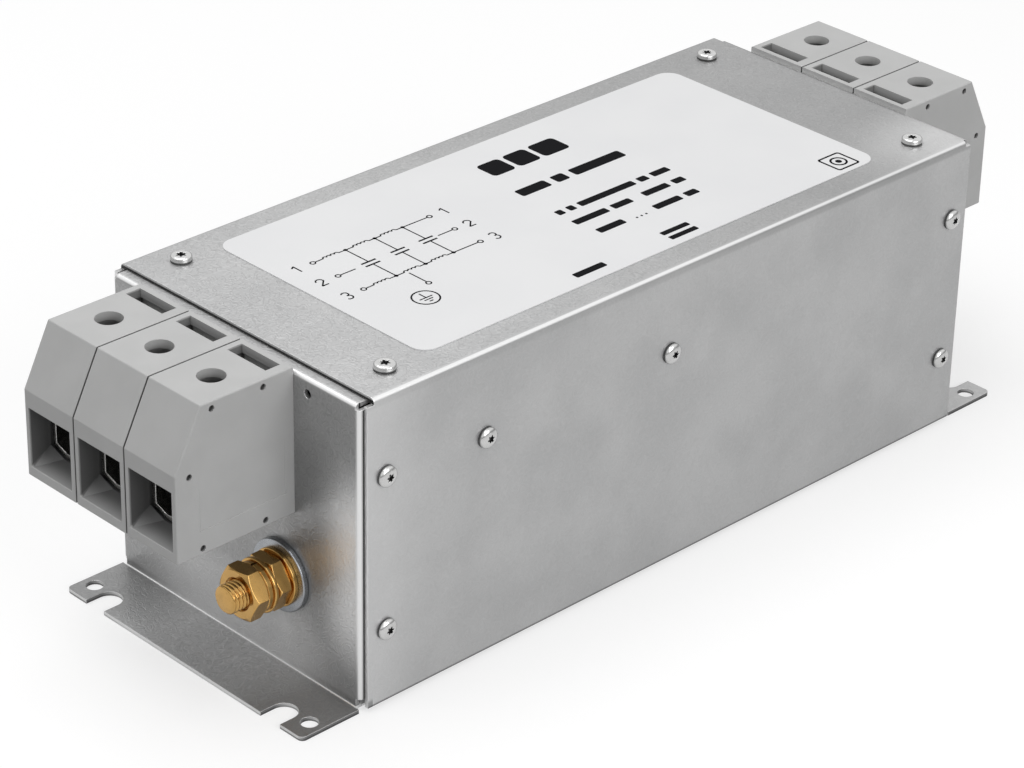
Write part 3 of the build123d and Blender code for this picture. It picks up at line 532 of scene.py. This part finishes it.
def solid_centres(node):
    """Centre of each separate solid of a node, in millimetres, in no fixed order."""
    mesh = bmesh.new()
    mesh.from_mesh(NODES[node].data)
    bmesh.ops.remove_doubles(mesh, verts=mesh.verts, dist=1e-6)
    left = set(mesh.verts)
    centres = []
    while left:
        found = [left.pop()]
        for vert in found:
            for edge in vert.link_edges:
                other = edge.other_vert(vert)
                if other in left:
                    left.remove(other)
                    found.append(other)
        low = Vector([min(v.co[k] for v in found) for k in range(3)])
        high = Vector([max(v.co[k] for v in found) for k in range(3)])
        centres.append((low + high) / 2 / MM)
    mesh.free()
    return centres


HEAD_HEIGHT, HEAD_RADIUS = 2.3, 3.65


def flat_crown(lobe):
    """Profile of a flat head with a rounded edge, and the height of its recess's rim."""
    size = HEAD_HEIGHT * 0.35
    inner = (HEAD_RADIUS - size) * 0.6 + lobe * 0.4
    profile = arc(HEAD_HEIGHT - size, HEAD_RADIUS - size, size, 90, 0)
    return profile + [(HEAD_HEIGHT, inner)], HEAD_HEIGHT


def domed_crown(lobe):
    """Profile of a domed head down to its recess, and the height of the recess's rim."""
    size, level, steps = HEAD_HEIGHT * 0.62, 0.35, 8
    reach = HEAD_RADIUS - level

    def on_dome(turn):
        return HEAD_HEIGHT - size + size * math.cos(turn), level + reach * math.sin(turn)

    points = [on_dome(math.pi / 2 * (1 - k / steps)) for k in range(steps)]
    rim = on_dome(math.asin((lobe - level) / reach))[0]
    return [(up, radius) for up, radius in points if radius > lobe + 0.25], rim


def screw(mesh, seat, out, flat, turn):
    """Pan head screw with a six lobed recess and its shank, seated at a point."""
    out = Vector(out)
    side = out.orthogonal().normalized()
    across = out.cross(side)
    shank, length = 2.0, 8.0
    lobe, depth, floor_radius = (1.8 if flat else 1.45), 1.25, 0.7

    def place(up, radius, angle):
        """A point at a height and radius from the screw's axis."""
        return seat + out * up + side * (radius * math.cos(angle)) + across * (radius * math.sin(angle))

    def star(radius, angle):
        """Radius of the recess, six lobed."""
        return radius * (0.8 + 0.2 * math.cos(6 * (angle - turn)))

    angles = full_turn(96)
    crown, rim = flat_crown(lobe) if flat else domed_crown(lobe)
    profile = [(-length, shank - 0.4), (-length + 0.5, shank), (0.0, shank), (0.0, HEAD_RADIUS - 0.5),
               (0.2, HEAD_RADIUS - 0.45), (0.26, HEAD_RADIUS), (0.72, HEAD_RADIUS)]
    recess = [(rim, lobe + 0.12), (rim - 0.12, lobe), (rim - depth, lobe * 0.94),
              (rim - depth - 0.2, floor_radius)]
    rings = [[mesh.verts.new(place(up, r, a)) for a in angles] for up, r in profile + crown]
    rings += [[mesh.verts.new(place(up, star(r, a), a)) for a in angles] for up, r in recess]
    cap(mesh, rings[0], place(-length, 0, 0))
    rings_to_faces(mesh, rings[:3])
    rings_to_faces(mesh, rings[6:-2])
    # The step under the head and the lower part of the recess lie in shade.
    shaded = rings_to_faces(mesh, rings[2:7]) + rings_to_faces(mesh, rings[-3:])
    for face in shaded + cap(mesh, rings[-1], place(rim - depth - 0.35, 0, 0)):
        face.material_index = 1


def case_screws(node, on_top):
    """Detailed screws in place of a node of plain ones: flat heads on the top, domed ones on the sides."""
    mesh = bmesh.new()
    for seat in solid_centres(node):
        if on_top:
            out = (0, 0, 1)
            seat.z = COVER_TOP
        else:
            out = (0, math.copysign(1, seat.y), 0)
            seat.y = out[1] * COVER_SIDE
        screw(mesh, seat, out, on_top, random.uniform(0, math.pi / 3))
    piece(node.replace("cover", "detailed"), mesh, "screw_steel", replaces=[node], second=RECESS)


case_screws("cover_top_screws", on_top=True)
case_screws("cover_end_screws", on_top=False)
case_screws("cover_bridge_screws", on_top=False)


# Earth stud


def on_stud(depth, radius, angle):
    """A point round the stud's axis; depth is X."""
    return (depth, STUD_Y + radius * math.cos(angle), STUD_Z + radius * math.sin(angle))


def stud_rings(mesh, profile, angles):
    """A ring of vertices round the stud's axis for each pair of depth and radius."""
    return [[mesh.verts.new(on_stud(depth, radius, a)) for a in angles] for depth, radius in profile]


def flat_washer(name, node, slot, edge):
    """A washer with a rounded edge on the stud, in place of a plain one."""
    low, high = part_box(node)
    x0, x1 = low.x / MM, high.x / MM
    radius, break_edge = (high.y - low.y) / 2 / MM, 0.2
    profile = [(x1, WASHER_BORE + break_edge), (x1 - break_edge, WASHER_BORE),
               (x0 + break_edge, WASHER_BORE), (x0, WASHER_BORE + break_edge)]
    profile += arc(x0 + edge, radius - edge, edge, 180, 90)
    profile += arc(x1 - edge, radius - edge, edge, 90, 0)
    mesh = bmesh.new()
    rings_to_faces(mesh, stud_rings(mesh, profile, full_turn(128)), closed=True)
    piece(name, mesh, slot, replaces=[node])


def hex_radius(angle, flats):
    """Distance from the middle of a hexagon to its side at an angle."""
    sector = (angle - NUT_TURN) % (math.pi / 3) - math.pi / 6
    return flats / 2 / math.cos(sector)


def hex_rings(mesh, x0, x1, start_profile, end_profile):
    """Hexagon with turned off corners between two inner profiles, as closed rings."""
    flats, slope = 17.0, math.tan(math.radians(30))
    face = flats / 2 * 0.955
    angles = full_turn(144, start=NUT_TURN)
    rings = stud_rings(mesh, start_profile + [(x0, face)], angles)
    for x, inwards in ((x0, 1), (x1, -1)):
        ring = []
        for a in angles:
            reach = hex_radius(a, flats)
            ring.append(mesh.verts.new(on_stud(x + inwards * slope * (reach - face), reach, a)))
        rings.append(ring)
    return rings + stud_rings(mesh, [(x1, face)] + end_profile, angles)


def soften(made, width):
    """Round the sharp edges of a machined piece."""
    bevel = made.modifiers.new("edges", "BEVEL")
    bevel.width, bevel.segments, bevel.limit_method = width * MM, 2, "ANGLE"
    bevel.angle_limit = math.radians(22)
    bevel.harden_normals = True


def hex_nut(name, node):
    """A nut with turned off corners and a countersunk bore, in place of a plain one."""
    low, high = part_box(node)
    x0, x1 = low.x / MM, high.x / MM
    bore, mouth, sink = 5.0, 5.9, 1.0
    mesh = bmesh.new()
    rings = hex_rings(mesh, x0, x1, [(x0 + sink, bore), (x0, mouth)], [(x1, mouth), (x1 - sink, bore)])
    rings_to_faces(mesh, rings, closed=True)
    soften(piece(name, mesh, "brass", replaces=[node]), 0.14)


def threaded_stud():
    """Stud with a rolled thread from under its head to the rounded tip."""
    x_tip, x_head = STUD_LOW.x / MM, STUD_HIGH.x / MM
    thickness, major, minor, thread, tip = 6.4, 5.0, 4.35, 1.5, 1.0
    steps, slices, middle = 80, 14, 3.0
    under = x_head - thickness
    mesh = bmesh.new()

    def crest(x, angle):
        """Radius of the thread, held inside the rounded tip."""
        wave = 0.5 - 0.5 * math.cos(2 * math.pi * x / thread - angle)
        radius = minor + (major - minor) * wave ** 0.7
        left = max(0.0, tip - (x - x_tip))
        return min(radius, major - tip + math.sqrt(max(0.0, tip ** 2 - left ** 2)))

    count = int((under - x_tip) / thread * slices)
    xs = [x_tip + (under - x_tip) * i / count for i in range(count + 1)]
    shaft = [[mesh.verts.new(on_stud(x, crest(x, a), a)) for a in full_turn(steps)] for x in xs]
    head = hex_rings(mesh, under, x_head, [(under, middle)], [(x_head, middle)])
    for rings, start, end in ((shaft, x_tip, under), (head, under, x_head)):
        rings_to_faces(mesh, rings)
        cap(mesh, rings[0], on_stud(start, 0, 0))
        cap(mesh, rings[-1], on_stud(end, 0, 0))
    made = piece("threaded_earth_stud", mesh, "brass", replaces=["earth_stud"])
    made.data.set_sharp_from_angle(angle=math.radians(50))


def split_washer():
    """Spring washer: a square wire ring, cut and slightly sprung."""
    low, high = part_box("stud_spring_washer")
    x0, x1 = low.x / MM, high.x / MM
    outer, gap = (high.y - low.y) / 2 / MM, math.radians(7)
    steps, edge = 96, 0.25
    mesh = bmesh.new()
    section = [(x0 + edge, WASHER_BORE), (x0, WASHER_BORE + edge), (x0, outer - edge), (x0 + edge, outer),
               (x1 - edge, outer), (x1, outer - edge), (x1, WASHER_BORE + edge), (x1 - edge, WASHER_BORE)]
    rings = []
    for i in range(steps + 1):
        angle = math.pi / 2 + gap / 2 + (2 * math.pi - gap) * i / steps
        rings.append([mesh.verts.new(on_stud(x, r, angle)) for x, r in section])
    rings_to_faces(mesh, rings)
    mesh.faces.new(rings[0])
    mesh.faces.new(reversed(rings[-1]))
    piece("split_spring_washer", mesh, "brass", replaces=["stud_spring_washer"])


flat_washer("washer_plated", "stud_wide_washer", "zinc_washer", 0.45)
flat_washer("washer_inner", "stud_inner_washer", "zinc_washer", 0.35)
flat_washer("washer_brass", "stud_brass_washer", "brass", 0.4)
flat_washer("washer_cable", "stud_cable_washer", "brass", 0.45)
split_washer()
hex_nut("nut_clamp", "stud_clamp_nut")
hex_nut("nut_cable", "stud_cable_nut")
threaded_stud()


# Print of the label: a generic circuit diagram, plain bars in place of words


def around(x, y, radius, angles):
    """Points round a middle."""
    return [(x + radius * math.cos(a), y + radius * math.sin(a)) for a in angles]


def rounded_box(x0, y0, x1, y1, radius):
    """Points round a rectangle with rounded corners."""
    points, steps = [], 5
    corners = ((x1 - radius, y1 - radius, 0), (x0 + radius, y1 - radius, 90),
               (x0 + radius, y0 + radius, 180), (x1 - radius, y0 + radius, 270))
    for x, y, start in corners:
        points += around(x, y, radius, [math.radians(start + 90 * i / steps) for i in range(steps + 1)])
    return points


class Print:
    """Thin closed shapes of ink just above the label, drawn in millimetres."""

    def __init__(self):
        self.mesh = bmesh.new()
        self.low, self.high = LABEL_TOP - 0.01, LABEL_TOP + 0.035

    def raised(self, points, z):
        """Vertices at a height above points of the label."""
        return [self.mesh.verts.new((x, y, z)) for x, y in points]

    def shape(self, outline, hole=None):
        """Raise an outline, or the band between an outline and a hole of as many points."""
        top, under = self.raised(outline, self.high), self.raised(outline, self.low)
        rings_to_faces(self.mesh, [under, top])
        if hole is None:
            self.mesh.faces.new(top)
            self.mesh.faces.new(reversed(under))
            return
        inner, inner_under = self.raised(hole, self.high), self.raised(hole, self.low)
        rings_to_faces(self.mesh, [top, inner, inner_under, under])

    def bar(self, x0, y0, x1, y1, radius=None):
        """A filled rectangle, its corners a little rounded unless a radius is given."""
        radius = min(x1 - x0, y1 - y0) * 0.18 if radius is None else radius
        self.shape(rounded_box(x0, y0, x1, y1, radius))

    def stroke(self, x0, y0, x1, y1, width=0.5):
        along = Vector((x1 - x0, y1 - y0)).normalized() * width / 2
        side = Vector((-along.y, along.x))
        start, end = Vector((x0, y0)), Vector((x1, y1))
        self.shape([tuple(start - side), tuple(end - side), tuple(end + side), tuple(start + side)])

    def ring(self, x, y, radius, width=0.5, turn=360.0, start=0.0, steps=28):
        """A ring, or part of one if the turn is less than full."""
        angles = [math.radians(start + turn * i / steps) for i in range(steps + (turn < 360))]
        outer, inner = (around(x, y, radius + side * width / 2, angles) for side in (1, -1))
        if turn < 360:
            self.shape(outer + inner[::-1])
        else:
            self.shape(outer, inner)

    def dot(self, x, y, radius):
        self.shape(around(x, y, radius, full_turn(16)))

    def numeral(self, value, x, y):
        """A plain 1, 2 or 3 round a middle."""
        high, wide, width = 4.6, 2.7, 0.55
        left, right, low, top = x - wide / 2, x + wide / 2, y - high / 2, y + high / 2
        bend = top - wide / 2
        if value == 1:
            self.stroke(x + 0.4, low, x + 0.4, top, width)
            self.stroke(x - 0.9, top - 1.1, x + 0.5, top - 0.1, width)
        elif value == 2:
            self.ring(x, bend, wide / 2, width, turn=205.0, start=-30.0, steps=18)
            self.stroke(right - 0.25, bend - 0.55, left, low + 0.25, width)
            self.stroke(left - 0.1, low + 0.25, right, low + 0.25, width)
        else:
            self.ring(x, y + 1.1, 1.2, width, turn=240.0, start=-90.0, steps=18)
            self.ring(x, y - 1.1, 1.25, width, turn=240.0, start=-150.0, steps=18)


def coil(ink, x0, x1, y):
    """Half rounds in a row: the winding in a phase line."""
    bumps = 4
    size = (x1 - x0) / bumps / 2
    for i in range(bumps):
        ink.ring(x0 + size * (2 * i + 1), y, size, turn=180.0, steps=12)


# Open ends of the phase lines, the ring round each, and where the line starts inside it
LEFT_END, RIGHT_END = -93.0, -42.0
END_RING, INSET = 0.9, 0.8


def phase_line(ink, y, coils):
    """A line between two open ends, with windings in it."""
    stops = [LEFT_END + INSET] + [x for pair in coils for x in pair] + [RIGHT_END - INSET]
    for x0, x1 in zip(stops[::2], stops[1::2]):
        ink.stroke(x0, y, x1, y)
    for x0, x1 in coils:
        coil(ink, x0, x1, y)
    for x in (LEFT_END, RIGHT_END):
        ink.ring(x, y, END_RING)


def capacitor(ink, x, top, low, middle):
    """Two plates across a line from the upper to the lower phase, with a dot at each joint."""
    gap, plate, half_width = 1.1, 3.1, 0.4
    ink.dot(x, top, 0.75)
    ink.dot(x, low, 0.75)
    ink.stroke(x, top, x, middle + gap)
    ink.stroke(x, middle - gap, x, low)
    for y in (middle - gap, middle + gap):
        ink.bar(x - plate, y - half_width, x + plate, y + half_width, 0.05)


def earth_sign(ink, x, y):
    """Three bars, each shorter than the one above, under a stroke in a ring."""
    ink.ring(x, y, 4.6, width=0.6, steps=40)
    ink.stroke(x, y + 3.3, x, y - 0.1)
    for half, drop in ((2.7, 0.1), (1.8, 1.4), (0.8, 2.7)):
        ink.stroke(x - half, y - drop, x + half, y - drop)


def circuit(ink):
    """Three phases from end to end, capacitors between them and a line to earth."""
    top, middle, low = 19.0, 6.7, -5.6
    coils = ((-88.5, -82.0), (-75.5, -69.0), (-63.5, -57.0))
    phase_line(ink, top, coils)
    phase_line(ink, low, coils)
    for start, end in ((-85.5, LEFT_END + INSET), (-49.5, RIGHT_END - INSET)):
        ink.stroke(start, middle, end, middle)
    for end in (LEFT_END, RIGHT_END):
        ink.ring(end, middle, END_RING)
    for x in (-79.0, -66.3, -54.0):
        capacitor(ink, x, top, low, middle)
    for value, y in ((1, top), (2, middle), (3, low)):
        ink.numeral(value, -100.0, y)
        ink.numeral(value, -35.6, y)
    earth_x, earth_y = -74.6, -16.1
    ink.stroke(earth_x, low - 1.2, earth_x, earth_y + END_RING)
    ink.ring(earth_x, earth_y, END_RING)
    earth_sign(ink, -82.2, -23.0)


def words(ink, x, y, height, lengths, gap):
    """Bars in place of words, from x on, with y at their foot."""
    for length in lengths:
        ink.bar(x, y, x + length, y + height)
        x += length + gap


def square_sign(ink, x, y):
    """A box with a ring and a dot in it."""
    outer, inner = 5.4, 4.6
    ink.shape(rounded_box(x - outer, y - outer, x + outer, y + outer, 1.2),
              rounded_box(x - inner, y - inner, x + inner, y + inner, 0.7))
    ink.ring(x, y, 2.8, width=0.8)
    ink.dot(x, y, 1.2)


def label_print():
    """Everything printed on the label, as one piece."""
    ink = Print()
    circuit(ink)
    title, heading, small = 10.0, 5.0, 3.3
    words(ink, -4.5, 26.8, title, (10.2, 10.2, 12.0), 1.8)
    words(ink, -8.0, 9.2, heading, (13.5, 5.6, 24.0), 3.0)
    words(ink, -9.0, -9.2, small, (3.0, 3.0, 26.0, 4.2, 8.0), 2.2)
    for x, y, lengths in ((-9.6, -18.0, (15.5, 8.8)), (23.0, -18.0, (12.0, 5.2)),
                          (-8.0, -27.6, (12.0,)), (18.6, -27.6, (12.5, 5.6))):
        words(ink, x, y, small, lengths, 2.4)
    for x in (9.0, 11.2, 13.4):
        ink.dot(x, -27.2, 0.45)
    words(ink, -36.6, -45.4, 3.0, (13.6,), 2.4)
    for y in (-46.6, -42.6):
        words(ink, 6.0, y, 2.4, (12.6,), 2.4)
    square_sign(ink, 92.0, -42.6)
    piece("label_print", ink.mesh, "label_film", material=INK)


label_print()


# Camera, floor and light


def camera():
    """The photograph's view, 1024 by 768, as a plain perspective."""
    eye = (-0.76084, -0.75672, 0.63083)
    azimuth, elevation, roll = map(math.radians, (-44.363, 28.794, 1.196))
    data = bpy.data.cameras.new("camera")
    data.sensor_width, data.lens = 36.0, 125.01
    data.clip_start, data.clip_end = 0.05, 60.0
    back = Vector((math.sin(azimuth) * math.cos(elevation),
                   -math.cos(azimuth) * math.cos(elevation), math.sin(elevation)))
    right = (-back).cross(Vector((0, 0, 1))).normalized()
    up = right.cross(-back)
    side = right * math.cos(roll) + up * math.sin(roll)
    head = up * math.cos(roll) - right * math.sin(roll)
    turn = Matrix((side, head, back)).transposed().to_4x4()
    made = placed("camera", data)
    made.matrix_world = Matrix.Translation(eye) @ turn
    bpy.context.scene.camera = made


def ray_share(tree, *names):
    """1 for the named kinds of ray."""
    path = tree.nodes.new("ShaderNodeLightPath")
    total = path.outputs[names[0]]
    for name in names[1:]:
        add = tree.nodes.new("ShaderNodeMath")
        add.operation, add.use_clamp = "ADD", True
        tree.links.new(total, add.inputs[0])
        tree.links.new(path.outputs[name], add.inputs[1])
        total = add.outputs[0]
    return total


def between(tree, share, low, high):
    """Low where the share is 0, high where it is 1; either may be a socket."""
    made = tree.nodes.new("ShaderNodeMapRange")
    tree.links.new(share, made.inputs["Value"])
    for name, value in (("To Min", low), ("To Max", high)):
        if isinstance(value, bpy.types.NodeSocket):
            tree.links.new(value, made.inputs[name])
        else:
            made.inputs[name].default_value = value
    return made.outputs[0]


def floor(reach=6000, diffuse=0.42, glow=0.6, mirrored=0.42):
    """Pale floor that keeps the shadows and reads white where it has none."""
    mesh = bmesh.new()
    bmesh.ops.create_grid(mesh, x_segments=8, y_segments=8, size=reach)
    data = in_metres("floor", mesh)
    made = placed("floor", data)
    material = bpy.data.materials.new("floor")
    material.use_nodes = True
    tree = material.node_tree
    tree.nodes.clear()
    output = tree.nodes.new("ShaderNodeOutputMaterial")
    paint = tree.nodes.new("ShaderNodeBsdfDiffuse")
    paint.inputs["Color"].default_value = (diffuse, diffuse, diffuse, 1)
    light = tree.nodes.new("ShaderNodeEmission")
    reflected = between(tree, ray_share(tree, "Is Glossy Ray"), 0.0, mirrored)
    level = between(tree, ray_share(tree, "Is Camera Ray", "Is Transmission Ray"), reflected, glow)
    tree.links.new(level, light.inputs["Strength"])
    both = tree.nodes.new("ShaderNodeAddShader")
    tree.links.new(paint.outputs[0], both.inputs[0])
    tree.links.new(light.outputs[0], both.inputs[1])
    tree.links.new(both.outputs[0], output.inputs["Surface"])
    data.materials.append(material)


def world(strength=0.45, horizon=0.3, rise_start=0.05, rise_end=0.42):
    """Even studio air: white to the camera, softer as a light, darker low down in reflections."""
    scene = bpy.context.scene
    scene.world = bpy.data.worlds.new("studio")
    scene.world.use_nodes = True
    tree = scene.world.node_tree
    back = tree.nodes["Background"]
    back.inputs["Color"].default_value = (1, 1, 1, 1)
    way = tree.nodes.new("ShaderNodeTexCoord")
    parts = tree.nodes.new("ShaderNodeSeparateXYZ")
    tree.links.new(way.outputs["Generated"], parts.inputs[0])
    rise = tree.nodes.new("ShaderNodeMapRange")
    rise.interpolation_type = "SMOOTHSTEP"
    rise.inputs["From Min"].default_value = rise_start
    rise.inputs["From Max"].default_value = rise_end
    tree.links.new(parts.outputs["Z"], rise.inputs["Value"])
    mirrored = between(tree, rise.outputs[0], horizon, 1.0)
    level = between(tree, ray_share(tree, "Is Glossy Ray"), strength, mirrored)
    level = between(tree, ray_share(tree, "Is Camera Ray", "Is Transmission Ray"), level, 1.0)
    tree.links.new(level, back.inputs["Strength"])


def softbox(name, place, aim, size, power):
    """A large soft lamp that looks from its place at its aim, in metres and watts."""
    data = bpy.data.lights.new(name, "AREA")
    data.shape, data.size, data.size_y, data.energy = "RECTANGLE", size[0], size[1], power
    made = placed(name, data)
    made.location = place
    made.rotation_mode = "QUATERNION"
    made.rotation_quaternion = (Vector(aim) - Vector(place)).to_track_quat("-Z", "Y")


camera()
floor()
world()
softbox("overhead", (-0.25, 0.3, 1.4), (-0.05, 0, 0.05), (1.3, 1.0), 11)
softbox("front", (-0.05, -1.3, 0.75), (-0.05, 0, 0.06), (1.1, 0.8), 8)

bpy.context.scene.view_settings.view_transform = "Standard"
